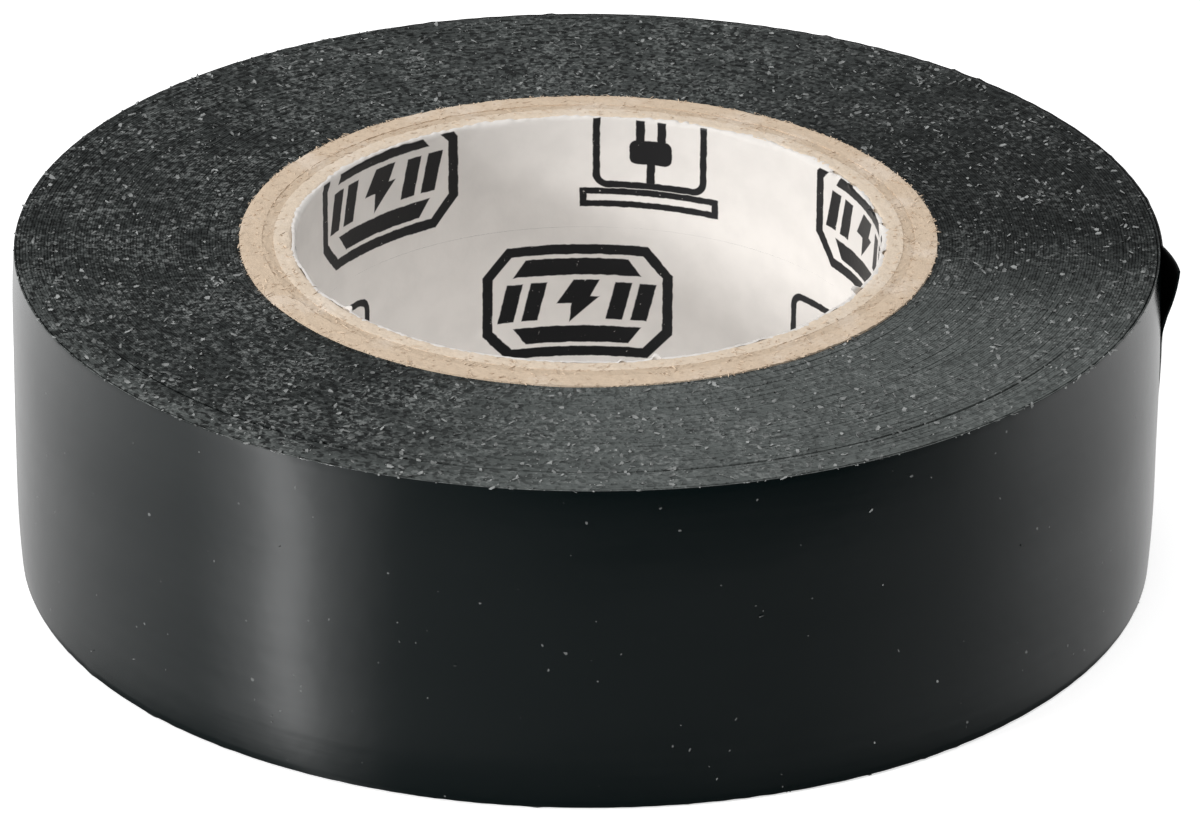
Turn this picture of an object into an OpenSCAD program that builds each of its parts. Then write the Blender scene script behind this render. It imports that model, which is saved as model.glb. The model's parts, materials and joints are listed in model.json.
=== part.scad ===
// Roll of PVC electrical tape on a board core, with its free end ready to peel.
// The bore's axis is Z, the roll stands on Z = 0, and the free end is on the +X side.

/* [Tape] */
// Width of the tape
tape_width = 15; // [10:0.5:50]
// Thickness of the PVC film
film_thickness = 0.09; // [0.08:0.01:0.15]
// Thickness of the adhesive coat under the film
adhesive_thickness = 0.02; // [0.01:0.01:0.04]
// Free space left between one turn and the next
turn_gap = 0.02; // [0.02:0.01:0.04]
// Outside diameter of the wound roll
roll_diameter = 51; // [44:1:66]
// Compass angle of the tape's free end, counted from +X
free_end_angle = -7.5; // [-90:0.5:90]
// Depth below the outside at which the outer turns have slackened
slack_depth = 1.7; // [0.8:0.1:3]
// Width of the groove that the slack leaves
slack_gap = 0.10; // [0.04:0.02:0.12]

/* [Core] */
// Diameter of the hole through the core
bore_diameter = 26; // [20:0.5:30]
// How far the core stands out past the tape at each end
core_overhang = 0.1; // [0:0.05:1]
// Thickness of the printed paper liner
liner_thickness = 0.12; // [0.08:0.02:0.3]
// Width of the open butt seam in the liner
liner_seam = 0.15; // [0.1:0.05:0.5]
// Compass angle of the liner's seam
liner_seam_angle = 205; // [0:5:355]
// Thickness of the inner board ply
inner_ply = 0.88; // [0.4:0.02:1.2]
// Thickness of the middle board ply
middle_ply = 0.50; // [0.3:0.02:1.2]
// Thickness of the outer board ply
outer_ply = 1.00; // [0.4:0.02:1.2]
// How far the middle ply's cut edges lie below its neighbours'
ply_recess = 0.12; // [0.04:0.02:0.4]
// Least radial gap between the core and the innermost turn
core_gap = 0.01; // [0.01:0.01:0.05]

/* [Tail] */
// Angle of the outermost turn that peels off, from its root to the free end
tail_angle = 120; // [60:10:150]
// Number of hinged strips that the tail is divided into
tail_strips = 8; // [4:1:12]
// Distance by which the cut end falls back between its upper and its lower edge
cut_slant = 6; // [0:0.5:6]
// Length of the lifted corner along the tape's upper edge
corner_length = 2.8; // [2.8:0.2:5]
// Height of the lifted corner below the tape's upper edge
corner_height = 3.4; // [2:0.1:6]
// Angle by which the stored corner stands out from the roll
corner_lift = 18; // [5:1:45]

/* [Hidden] */
roll_r = roll_diameter / 2;
bore_r = bore_diameter / 2;
liner_r = bore_r + liner_thickness;
inner_ply_r = liner_r + inner_ply;
middle_ply_r = inner_ply_r + middle_ply;
core_r = middle_ply_r + outer_ply;

core_length = tape_width + 2 * core_overhang;
laminate = film_thickness + adhesive_thickness;
pitch = laminate + turn_gap;

// The winding is a run of half turns, numbered from the outside in. Each is half
// a pitch smaller than the last, and its centre is half a pitch to one side, so
// that the strip runs on without a step.
slack_turns = round(slack_depth / pitch);
first_packed = 2 * slack_turns;
packed_r = roll_r - slack_gap;

strip_angle = tail_angle / tail_strips;
strip_numbers = [for (i = [1:tail_strips]) i];

// The end is cut along a plane that falls back from the upper edge by the slant.
tape_top = core_overhang + tape_width;
cut_tilt = atan2(cut_slant, tape_width);

// The corner folds along a line that touches the outside of the roll halfway.
corner_angle = corner_length / roll_r * 180 / PI;
fold_low_angle = asin(corner_height * tan(cut_tilt) / roll_r);
fold_half_angle = (corner_angle - fold_low_angle) / 2;
fold_r = roll_r / cos(fold_half_angle);
fold_run = 2 * fold_r * sin(fold_half_angle);
fold_tilt = atan2(corner_height, fold_run);
fold_z = tape_top - corner_height;
corner_reach = corner_length + corner_height;

arc_fn = 360;
seam_reach = 2 * liner_thickness;

function half_turn_r(j) = (j < first_packed ? roll_r : packed_r) - j * pitch / 2;
function half_turn_x(j) = j % 2 == 0 ? 0 : -pitch / 2;

// Turns the winding so that the tape's cut end comes to its compass angle.
module at_free_end() {
    rotate([0, 0, free_end_angle]) children();
}

// Ring about the bore's axis between two radii, shortened by a recess at both ends.
module core_ring(r_in, r_out, recess = 0) {
    translate([0, 0, recess])
        difference() {
            cylinder(r = r_out, h = core_length - 2 * recess, $fn = arc_fn);
            translate([0, 0, -1])
                cylinder(r = r_in, h = core_length + 2, $fn = arc_fn);
        }
}

// Stretch of half turn j from one angle to another, between two depths below its outside.
module wound_strip(j, angles, depths) {
    translate([half_turn_x(j), 0, core_overhang])
        rotate([0, 0, angles[0]])
            rotate_extrude(angle = angles[1] - angles[0], $fn = arc_fn)
                translate([half_turn_r(j) - depths[1], 0])
                    square([depths[1] - depths[0], tape_width]);
}

// Everything inside half turn j, from one angle to another, down from some depth.
module sector(j, angles, depth = 0) {
    wound_strip(j, angles, [depth, half_turn_r(j)]);
}

// Strip i of the tail, counted from its root, as one layer between two depths.
module tail_strip(i, depths) {
    wound_strip(0, [tail_angle - i * strip_angle, tail_angle - (i - 1) * strip_angle], depths);
}

// Moves into the frame of the fold: Y along the fold line, Z towards the corner's tip.
module in_fold_frame() {
    rotate([0, 0, fold_low_angle])
        translate([fold_r, 0, fold_z])
            rotate([0, 0, fold_half_angle])
                rotate([fold_tilt, 0, 0])
                    children();
}

module out_of_fold_frame() {
    rotate([-fold_tilt, 0, 0])
        rotate([0, 0, -fold_half_angle])
            translate([-fold_r, 0, -fold_z])
                rotate([0, 0, -fold_low_angle])
                    children();
}

// Everything past the slanted cut end.
module beyond_cut() {
    translate([0, 0, tape_top])
        rotate([cut_tilt, 0, 0])
            translate([0, -roll_r, -2 * tape_width])
                cube([2 * roll_r, roll_r, 3 * tape_width]);
}

// Everything on the corner's side of the fold.
module beyond_fold() {
    in_fold_frame()
        translate([-corner_reach, -corner_reach, 0])
            cube([2 * corner_reach, 3 * corner_reach, corner_reach]);
}

module tail_layer(i, depths) {
    at_free_end()
        difference() {
            tail_strip(i, depths);
            if (i == tail_strips) {
                beyond_fold();
                beyond_cut();
            }
        }
}

module corner_layer(depths) {
    at_free_end()
        in_fold_frame()
            rotate([0, corner_lift, 0])
                out_of_fold_frame()
                    difference() {
                        intersection() {
                            tail_strip(tail_strips, depths);
                            beyond_fold();
                        }
                        beyond_cut();
                    }
}

module liner() {
    color("#e8e5e0")
        difference() {
            core_ring(bore_r, liner_r);
            rotate([0, 0, liner_seam_angle])
                translate([bore_r - seam_reach, -liner_seam / 2, -1])
                    cube([3 * seam_reach, liner_seam, core_length + 2]);
        }
}

module ply_inner() {
    color("#cbb08c") core_ring(liner_r, inner_ply_r);
}

module ply_middle() {
    color("#b59a78") core_ring(inner_ply_r, middle_ply_r, ply_recess);
}

module ply_outer() {
    color("#d2b997") core_ring(middle_ply_r, core_r);
}

// The tightly wound turns, bonded to one another, from the core out to the slack.
// The outside steps in by one turn where the strip runs on into the slack turns.
module wound_tape() {
    color("#2f3436")
        at_free_end()
            difference() {
                union() {
                    sector(first_packed, [0, 180]);
                    sector(first_packed + 1, [180, 360]);
                }
                cylinder(r = core_r + core_gap, h = core_length, $fn = arc_fn);
            }
}

// The slack outer turns. The outside steps up by one turn at the root of the tail.
module outer_wrap() {
    color("#262b2d")
        at_free_end()
            difference() {
                union() {
                    sector(0, [180, tail_angle]);
                    sector(1, [180, 360]);
                    sector(2, [0, 180]);
                }
                sector(first_packed - 2, [0, 180], laminate);
                sector(first_packed - 1, [180, 360], laminate);
            }
}

module tail_film(i) {
    color("#222729") tail_layer(i, [0, film_thickness]);
}

module tail_adhesive(i) {
    color("#0b0c0d") tail_layer(i, [film_thickness, laminate]);
}

module corner_film() {
    color("#222729") corner_layer([0, film_thickness]);
}

module corner_adhesive() {
    color("#0b0c0d") corner_layer([film_thickness, laminate]);
}

liner();
ply_inner();
ply_middle();
ply_outer();
wound_tape();
outer_wrap();
for (i = strip_numbers) {
    tail_film(i);
    tail_adhesive(i);
}
corner_film();
corner_adhesive();
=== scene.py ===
"""Finished look of a roll of PVC electrical tape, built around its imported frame."""

import json
import math

import bmesh
import bpy
import numpy as np
from mathutils import Matrix, Vector, noise


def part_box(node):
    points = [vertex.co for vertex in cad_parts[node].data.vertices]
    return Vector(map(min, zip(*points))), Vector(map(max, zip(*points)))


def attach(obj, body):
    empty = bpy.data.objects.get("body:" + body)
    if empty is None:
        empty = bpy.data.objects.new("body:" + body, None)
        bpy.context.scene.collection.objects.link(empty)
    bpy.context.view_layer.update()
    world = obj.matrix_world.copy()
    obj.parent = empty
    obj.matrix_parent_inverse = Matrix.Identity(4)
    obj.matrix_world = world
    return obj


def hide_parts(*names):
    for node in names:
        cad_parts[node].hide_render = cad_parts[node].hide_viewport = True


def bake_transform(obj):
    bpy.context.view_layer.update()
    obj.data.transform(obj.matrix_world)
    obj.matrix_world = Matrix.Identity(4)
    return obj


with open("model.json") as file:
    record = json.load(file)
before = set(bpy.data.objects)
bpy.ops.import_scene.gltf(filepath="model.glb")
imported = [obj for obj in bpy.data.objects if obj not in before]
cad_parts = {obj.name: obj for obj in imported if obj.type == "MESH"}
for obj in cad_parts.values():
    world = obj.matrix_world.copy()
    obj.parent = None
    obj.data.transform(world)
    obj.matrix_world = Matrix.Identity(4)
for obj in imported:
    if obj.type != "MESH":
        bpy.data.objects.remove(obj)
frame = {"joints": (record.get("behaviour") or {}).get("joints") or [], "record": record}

bl_info = {
    "name": "Electrical Tape Roll",
    "version": (1, 0, 0),
    "blender": (4, 5, 0),
    "location": "View3D > Sidebar > Tape Roll",
    "description": "Wound tape, board core, printed liner and peeling tail of a tape roll",
    "category": "Object",
}

MM = 0.001
FULL_TURN = 2 * math.pi
TURN_PITCH = 0.13 * MM
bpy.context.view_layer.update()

# ---------------------------------------------------------------- places from the frame

JOINTS = {joint["name"]: joint for joint in frame["joints"]}
BENDS = [joint for joint in frame["joints"] if joint["name"] != "corner_lift"]
MOUNTS = {mount["name"]: mount for mount in frame["record"]["mounts"]}


def joint_angle(joint):
    """Compass angle of a hinge that stands on the outside of the roll."""
    return math.atan2(joint["pos_m"][1], joint["pos_m"][0])


def half_width(node):
    """Radius of a ring node that is centred on the bore's axis."""
    low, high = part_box(node)
    return (high.y - low.y) / 2


BORE_R = MOUNTS["core_bore"]["dims"]["r_mm"] * MM
LINER_R = half_width("liner")
INNER_PLY_R = half_width("ply_inner")
MIDDLE_PLY_R = half_width("ply_middle")
CORE_R = half_width("ply_outer")
CORE_Z = (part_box("ply_outer")[0].z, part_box("ply_outer")[1].z)
TAPE_Z = (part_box("wound_tape")[0].z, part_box("wound_tape")[1].z)
TAPE_WIDTH = TAPE_Z[1] - TAPE_Z[0]
TAPE_MIDDLE = (TAPE_Z[0] + TAPE_Z[1]) / 2
PACKED_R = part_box("wound_tape")[1].x

ROLL_R = math.hypot(*BENDS[0]["pos_m"][:2])
ROOT_ANGLE = joint_angle(BENDS[0])
STRIP_ANGLE = ROOT_ANGLE - joint_angle(BENDS[1])
TAIL_ANGLE = STRIP_ANGLE * len(BENDS)
FREE_END = ROOT_ANGLE - TAIL_ANGLE

FOLD = JOINTS["corner_lift"]
FOLD_POINT = Vector(FOLD["pos_m"])
FOLD_AXIS = Vector(FOLD["axis"]).normalized()
FOLD_OUT = Vector((FOLD_POINT.x, FOLD_POINT.y, 0)).normalized()
FOLD_ACROSS = FOLD_OUT.cross(FOLD_AXIS).normalized()
FOLD_ACROSS *= math.copysign(1, FOLD_ACROSS.z)
STORED_LIFT = -math.radians(FOLD["range_deg"][0])


# ---------------------------------------------------------------- sizes and colours


class TapeRollSizes(bpy.types.PropertyGroup):
    """Sizes that shape the finished surfaces."""

    film: bpy.props.FloatProperty(
        name="Film", description="Thickness of the PVC film", default=0.09 * MM, unit="LENGTH")
    adhesive: bpy.props.FloatProperty(
        name="Adhesive", description="Thickness of the adhesive coat",
        default=0.02 * MM, unit="LENGTH")
    pitch: bpy.props.FloatProperty(
        name="Pitch", description="Radial distance from one turn to the next",
        default=TURN_PITCH, unit="LENGTH")
    edge_wander: bpy.props.FloatProperty(
        name="Edge wander", description="How far a turn's edge strays up and down",
        default=0.045 * MM, unit="LENGTH")
    crown: bpy.props.FloatProperty(
        name="Crown", description="How far the outermost turn bulges between its edges",
        default=0.15 * MM, unit="LENGTH")
    cut_slant: bpy.props.FloatProperty(
        name="Cut slant", description="How far the cut end falls back from its top to its bottom",
        default=6.0 * MM, unit="LENGTH")
    slack_pitch: bpy.props.FloatProperty(
        name="Slack pitch", description="Pitch of the loose outer turns",
        default=0.137 * MM, unit="LENGTH")
    slack_drawn: bpy.props.FloatProperty(
        name="Slack drawn out", description="How far the loose turns have drawn out",
        default=0.24 * MM, unit="LENGTH")
    rim_round: bpy.props.FloatProperty(
        name="Rim rounding", description="Radius of the rounded edge of the outermost turn",
        default=0.035 * MM, unit="LENGTH")
    lint_count: bpy.props.IntProperty(
        name="Lint", description="Number of lint flecks on each end face", default=4600)
    hair_count: bpy.props.IntProperty(
        name="Board fibres", description="Number of loose fibres on each end of the board", default=1500)


class TapeRollColours(bpy.types.PropertyGroup):
    """Colours of the materials, as linear values."""

    film: bpy.props.FloatVectorProperty(
        name="Film", description="PVC film", subtype="COLOR", default=(0.0020, 0.0045, 0.0048))
    wound: bpy.props.FloatVectorProperty(
        name="Wound edge", description="Slit edges of the wound turns", subtype="COLOR",
        default=(0.011, 0.0135, 0.0135))
    lint: bpy.props.FloatVectorProperty(
        name="Lint", description="Dust and lint", subtype="COLOR", default=(0.30, 0.31, 0.305))
    glue: bpy.props.FloatVectorProperty(
        name="Adhesive", description="Adhesive coat", subtype="COLOR",
        default=(0.0015, 0.0015, 0.0015))
    board: bpy.props.FloatVectorProperty(
        name="Board", description="Cut kraft board", subtype="COLOR", default=(0.68, 0.54, 0.405))
    inner_ply: bpy.props.FloatVectorProperty(
        name="Inner ply", description="Cut inner ply", subtype="COLOR", default=(0.755, 0.63, 0.50))
    core_ply: bpy.props.FloatVectorProperty(
        name="Middle ply", description="Cut middle ply", subtype="COLOR", default=(0.62, 0.49, 0.365))
    paper: bpy.props.FloatVectorProperty(
        name="Liner", description="Liner paper", subtype="COLOR", default=(0.765, 0.73, 0.695))
    ink: bpy.props.FloatVectorProperty(
        name="Ink", description="Printing ink", subtype="COLOR", default=(0.010, 0.010, 0.011))


# ---------------------------------------------------------------- node trees


class Value:
    """One output of a node tree; arithmetic on it adds Math nodes."""

    def __init__(self, tree, socket):
        self.tree = tree
        self.socket = socket

    def __add__(self, other):
        return self.tree.math("ADD", self, other)

    def __radd__(self, other):
        return self.tree.math("ADD", other, self)

    def __sub__(self, other):
        return self.tree.math("SUBTRACT", self, other)

    def __rsub__(self, other):
        return self.tree.math("SUBTRACT", other, self)

    def __mul__(self, other):
        return self.tree.math("MULTIPLY", self, other)

    def __rmul__(self, other):
        return self.tree.math("MULTIPLY", other, self)

    def __truediv__(self, other):
        return self.tree.math("DIVIDE", self, other)

    def __abs__(self):
        return self.tree.math("ABSOLUTE", self)


class Tree:
    """A node tree under construction."""

    def __init__(self, node_tree):
        self.nodes = node_tree.nodes
        self.links = node_tree.links
        self.nodes.clear()

    def node(self, kind, settings=None, inputs=None, output=0):
        """Adds a node, sets it up, fills its inputs and gives one of its outputs."""
        made = self.nodes.new(kind)
        for name, setting in (settings or {}).items():
            if name == "stops":
                self.set_stops(made.color_ramp, setting)
            else:
                setattr(made, name, setting)
        for key, given in (inputs or {}).items():
            if isinstance(given, Value):
                self.links.new(given.socket, made.inputs[key])
            else:
                made.inputs[key].default_value = given
        return Value(self, made.outputs[output]) if len(made.outputs) else None

    @staticmethod
    def set_stops(ramp, stops):
        while len(ramp.elements) < len(stops):
            ramp.elements.new(0.5)
        for element, (position, level) in zip(ramp.elements, stops):
            element.position = position
            element.color = (level, level, level, 1)

    def math(self, operation, *operands):
        return self.node("ShaderNodeMath", {"operation": operation}, dict(enumerate(operands)))

    def least(self, *values):
        found = values[0]
        for value in values[1:]:
            found = self.math("MINIMUM", found, value)
        return found

    def most(self, *values):
        found = values[0]
        for value in values[1:]:
            found = self.math("MAXIMUM", found, value)
        return found

    def smooth(self, value, low, high):
        """Rises smoothly from 0 at low to 1 at high."""
        return self.node(
            "ShaderNodeMapRange", {"interpolation_type": "SMOOTHSTEP"},
            {"Value": value, "From Min": low, "From Max": high})

    def vector(self, x, y, z):
        return self.node("ShaderNodeCombineXYZ", None, {0: x, 1: y, 2: z})

    def parts(self, vector):
        return [self.node("ShaderNodeSeparateXYZ", None, {0: vector}, output) for output in range(3)]

    def noise(self, vector, scale, detail=2.0, roughness=0.5):
        return self.node(
            "ShaderNodeTexNoise", None,
            {"Vector": vector, "Scale": scale, "Detail": detail, "Roughness": roughness})

    def mix_colour(self, factor, a, b):
        colours = [c if isinstance(c, Value) else (*c, 1) for c in (a, b)]
        return self.node(
            "ShaderNodeMix", {"data_type": "RGBA"}, {0: factor, 6: colours[0], 7: colours[1]}, 2)


class Material(Tree):
    """A material under construction, with the places that its patterns follow."""

    def __init__(self, name):
        self.material = bpy.data.materials.new(name)
        self.material.use_nodes = True
        super().__init__(self.material.node_tree)
        self.place = self.node("ShaderNodeTexCoord", output=3)
        self.x, self.y, self.z = self.parts(self.place)

    def radius(self):
        return self.math("SQRT", self.x * self.x + self.y * self.y)

    def around(self, per_radian, per_metre_out, per_metre_up=0.0):
        """Seamless place on the rings about Z, stretched by how fast it runs each way."""
        radius = self.radius()
        east = self.x / radius * per_radian
        north = self.y / radius * per_radian
        return self.vector(east, north, radius * per_metre_out + self.z * per_metre_up)

    def finish(self, colour, roughness, bump=None, bump_depth=0.0, settings=None):
        """Ends the tree in a Principled shader; settings are constants on its own sockets."""
        inputs = {"Base Color": colour, "Roughness": roughness, **(settings or {})}
        if bump is not None:
            inputs["Normal"] = self.node(
                "ShaderNodeBump", None, {"Height": bump, "Distance": bump_depth, "Strength": 1.0})
        shader = self.node("ShaderNodeBsdfPrincipled", None, inputs)
        self.node("ShaderNodeOutputMaterial", None, {"Surface": shader})
        return self.material


STREAK_TONE = (0.030, 0.034, 0.033)
# Tone of the painted highlight on the slit edges: light that the turn edges catch.
SHEEN_TONE = (0.120, 0.132, 0.128)
SPECK_TONE = (0.135, 0.147, 0.143)
CRUMB_TONE = (0.23, 0.242, 0.237)
CURL_TONE = (0.26, 0.27, 0.265)
# Tone of the pits, also used as painted shade on the slit edges.
PIT_AND_SHADE_TONE = (0.003, 0.004, 0.004)


def slit_edge(m, colours):
    """Tone and relief of slit tape edges: streaks, caught dust, curled lint and pits, with painted
    highlight towards the front-right and the back, paler tone near the front of the rim, and painted
    shade on the right.
    """
    streaks = m.noise(m.around(7.0, 2600.0), 1.0, 3.0, 0.65)
    specks = m.noise(m.around(62.0, 3500.0), 1.0, 2.0, 0.6)
    crumbs = m.noise(m.place, 4200.0, 1.0)
    curls = abs(m.noise(m.place, 1500.0, 2.0, 0.4) - 0.5)
    patches = m.noise(m.place, 330.0, 3.0, 0.6)
    pits = m.noise(m.around(56.0, 3100.0), 1.3, 1.0)
    dusty = m.smooth(patches, 0.38, 0.60)
    pit = m.smooth(pits, 0.50, 0.62)
    radius = m.radius()
    # Painted highlight: a paler zone towards the front-right, for light that the turn edges catch.
    highlit_front_right = m.smooth((m.x * 0.53 - m.y * 0.85) / radius, 0.45, 0.95)
    rim = m.smooth(radius, ROLL_R - 1.8 * MM, ROLL_R - 0.5 * MM) * m.smooth(
        (m.x * 0.4 + m.y * 0.9) / radius, -0.4, -0.8)
    # Painted highlight towards the back and the front-right, plus paler tone near the front of the rim.
    painted_sheen = m.smooth(m.y / radius, 0.45, 1.0) * 0.27 + highlit_front_right + rim * 0.5 * (1 - highlit_front_right)
    # Painted shade: darker towards the right, outside the painted highlight at the front-right.
    painted_shade = m.smooth(m.x / radius, 0.2, 0.85) * (1 - highlit_front_right)
    speck = m.smooth(specks, 0.49, 0.63) * (0.30 + 0.70 * dusty)
    crumb = m.smooth(crumbs, 0.53, 0.66) * (0.20 + 0.80 * dusty)
    curl = (1 - m.smooth(curls, 0.004, 0.018)) * m.smooth(patches, 0.42, 0.60)
    tone = m.mix_colour(streaks, colours.wound, STREAK_TONE)
    tone = m.mix_colour(painted_sheen * (0.42 + streaks * 0.7), tone, SHEEN_TONE)
    tone = m.mix_colour(speck * 0.62, tone, SPECK_TONE)
    tone = m.mix_colour(crumb * 0.58, tone, CRUMB_TONE)
    tone = m.mix_colour(curl * 0.40, tone, CURL_TONE)
    # Pits are fainter where the painted highlight lies.
    tone = m.mix_colour(pit * (0.82 - highlit_front_right * 0.5), tone, PIT_AND_SHADE_TONE)
    # Painted shade mixed in towards the right.
    tone = m.mix_colour(painted_shade * 0.5, tone, PIT_AND_SHADE_TONE)
    return tone, streaks + specks * 1.2 + crumb * 0.4 + curl * 0.3 - pit


def film_material(colours):
    """Satin calendered PVC: faint haul-off bands, scuffs, settled dust and matte slit edges."""
    m = Material("Satin PVC film")
    bands = m.noise(m.around(1.2, 0.0, 900.0), 1.0, 3.0)
    blotches = m.noise(m.place, 210.0, 3.0, 0.6)
    grain = m.noise(m.place, 9000.0, 2.0)
    dust = m.smooth(m.noise(m.place, 2600.0, 1.0), 0.775, 0.80)
    edge = m.smooth(
        abs(m.z - TAPE_MIDDLE), TAPE_WIDTH / 2 - 0.022 * MM, TAPE_WIDTH / 2 - 0.010 * MM)
    slit_tone, slit_relief = slit_edge(m, colours)
    colour = m.mix_colour(dust * 0.35, colours.film, colours.lint)
    colour = m.mix_colour(edge, colour, slit_tone)
    roughness = 0.155 + blotches * 0.05 + bands * 0.03 + dust * 0.3 + edge * 0.4
    relief = bands * 0.35 + blotches * 1.0 + grain * 0.012 + edge * slit_relief
    return m.finish(colour, roughness, relief, 0.02 * MM, {"Specular IOR Level": 0.42})


def glue_material(colours):
    """Black rubber adhesive, glossy, with the orange peel that its release leaves."""
    m = Material("Rubber adhesive")
    peel = m.noise(m.place, 3800.0, 3.0, 0.6)
    strings = m.noise(m.around(30.0, 0.0, 5200.0), 1.0, 2.0)
    sheen = m.smooth(peel, 0.55, 0.75)
    colour = m.mix_colour(sheen * 0.3, colours.glue, (0.006, 0.006, 0.006))
    return m.finish(
        colour, 0.30 + strings * 0.2, peel + strings * 0.4, 0.01 * MM, {"Specular IOR Level": 0.25})


def wound_material(colours):
    """The slit edges of all the turns in the roll."""
    m = Material("Wound tape edge")
    tone, relief = slit_edge(m, colours)
    return m.finish(tone, 0.55, relief, 0.03 * MM, {"Specular IOR Level": 0.12})


def lint_material(colours):
    """Pale lint and talc flecks."""
    m = Material("Lint")
    tone = m.noise(m.place, 1500.0, 1.0)
    colour = m.mix_colour(m.smooth(tone, 0.3, 0.7), (0.06, 0.064, 0.063), colours.lint)
    return m.finish(colour, 0.9)


def board_material(name, colour):
    """Cut kraft board: felted fibres along the ring, darker pits and paler torn spots."""
    m = Material(name)
    felt = m.noise(m.around(90.0, 9000.0), 1.0, 3.0, 0.65)
    mottle = m.noise(m.place, 1700.0, 3.0, 0.6)
    cloud = m.noise(m.place, 330.0, 2.0)
    grit = m.noise(m.place, 7000.0, 2.0)
    pit = m.smooth(mottle, 0.60, 0.80)
    torn = m.smooth(cloud + (grit - 0.5) * 0.3, 0.50, 0.72)
    dark = [level * 0.70 for level in colour]
    pale = [level + (1 - level) * 0.28 for level in colour]
    tone = m.mix_colour(m.smooth(felt, 0.25, 0.75), [level * 0.88 for level in colour], colour)
    tone = m.mix_colour(torn * 0.5, tone, pale)
    tone = m.mix_colour(pit * 0.35, tone, dark)
    relief = felt * 0.8 + mottle * 0.5 + grit * 0.2
    return m.finish(tone, 0.92, relief, 0.03 * MM, {"Specular IOR Level": 0.2})


# ---------------------------------------------------------------- liner print

MARK_REPEAT = math.radians(60)
LOWER_ROW_Z = 5.95 * MM
UPPER_ROW_Z = 13.4 * MM
BETWEEN_ROWS_Z = 9.69 * MM
FIRST_BADGE = math.radians(92.3)
ROW_SHIFT = math.radians(45)


class Print:
    """Line art on a flat patch whose place is (u, v) in millimetres; below 0 is inside."""

    def __init__(self, tree, u, v):
        self.tree = tree
        self.u = u
        self.v = v

    def block(self, x, y, width, height, corner=0.0):
        """Rectangle with rounded corners."""
        du = abs(self.u - x) - (width / 2 - corner)
        dv = abs(self.v - y) - (height / 2 - corner)
        if not corner:
            return self.tree.most(du, dv)
        outside_u = self.tree.most(du, 0.0)
        outside_v = self.tree.most(dv, 0.0)
        rounded = self.tree.math("SQRT", outside_u * outside_u + outside_v * outside_v)
        return rounded + self.tree.least(self.tree.most(du, dv), 0.0) - corner

    def convex(self, corners):
        """Convex outline whose corners run anticlockwise."""
        sides = []
        for (x0, y0), (x1, y1) in zip(corners, corners[1:] + corners[:1]):
            length = math.hypot(x1 - x0, y1 - y0)
            out_u, out_v = (y1 - y0) / length, (x0 - x1) / length
            sides.append(self.u * out_u + self.v * out_v - (x0 * out_u + y0 * out_v))
        return self.tree.most(*sides)

    def outline(self, shape, line):
        """The line that runs just inside a shape's edge."""
        return self.tree.most(shape, -1.0 * shape - line)

    def ink(self, *shapes):
        return 1 - self.tree.smooth(self.tree.least(*shapes), -0.03, 0.03)


def badge(print_):
    """Wide cornered frame with a bar above and below, and a bolt between slanted strokes."""
    frame_line = print_.outline(
        print_.convex([(-4.5, -1.5), (-3.3, -2.85), (3.3, -2.85), (4.5, -1.5),
                       (4.5, 1.5), (3.3, 2.85), (-3.3, 2.85), (-4.5, 1.5)]), 0.50)
    bars = [
        print_.convex([(-3.0, 1.30), (3.0, 1.30), (2.4, 2.15), (-2.4, 2.15)]),
        print_.convex([(-2.4, -2.15), (2.4, -2.15), (3.0, -1.30), (-3.0, -1.30)])]
    bolt = [
        print_.convex([(-0.95, -0.15), (0.45, -0.15), (1.05, 1.05), (-0.15, 1.05)]),
        print_.convex([(-0.35, -1.10), (1.05, 0.2), (-0.2, 0.2)])]
    strokes = [
        print_.convex([(x - 0.62, -0.95), (x + 0.16, -0.95), (x + 0.62, 0.95), (x - 0.16, 0.95)])
        for x in (-3.15, -2.0, 1.95, 3.1)]
    return print_.ink(frame_line, *bars, *bolt, *strokes)


def plug_mark(print_):
    """Plug with two pins in a thin rounded frame, over a short ruled bar."""
    frame_line = print_.outline(print_.block(0, 0.35, 5.4, 4.1, 0.7), 0.34)
    body = print_.block(0, 0.15, 2.0, 1.2, 0.35)
    pins = [print_.block(x, 1.2, 0.42, 1.1) for x in (-0.5, 0.5)]
    lead = print_.block(0, -0.9, 0.4, 1.0)
    bar = print_.outline(print_.block(0, -2.2, 6.6, 0.95), 0.32)
    return print_.ink(frame_line, body, *pins, lead, bar)


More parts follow.
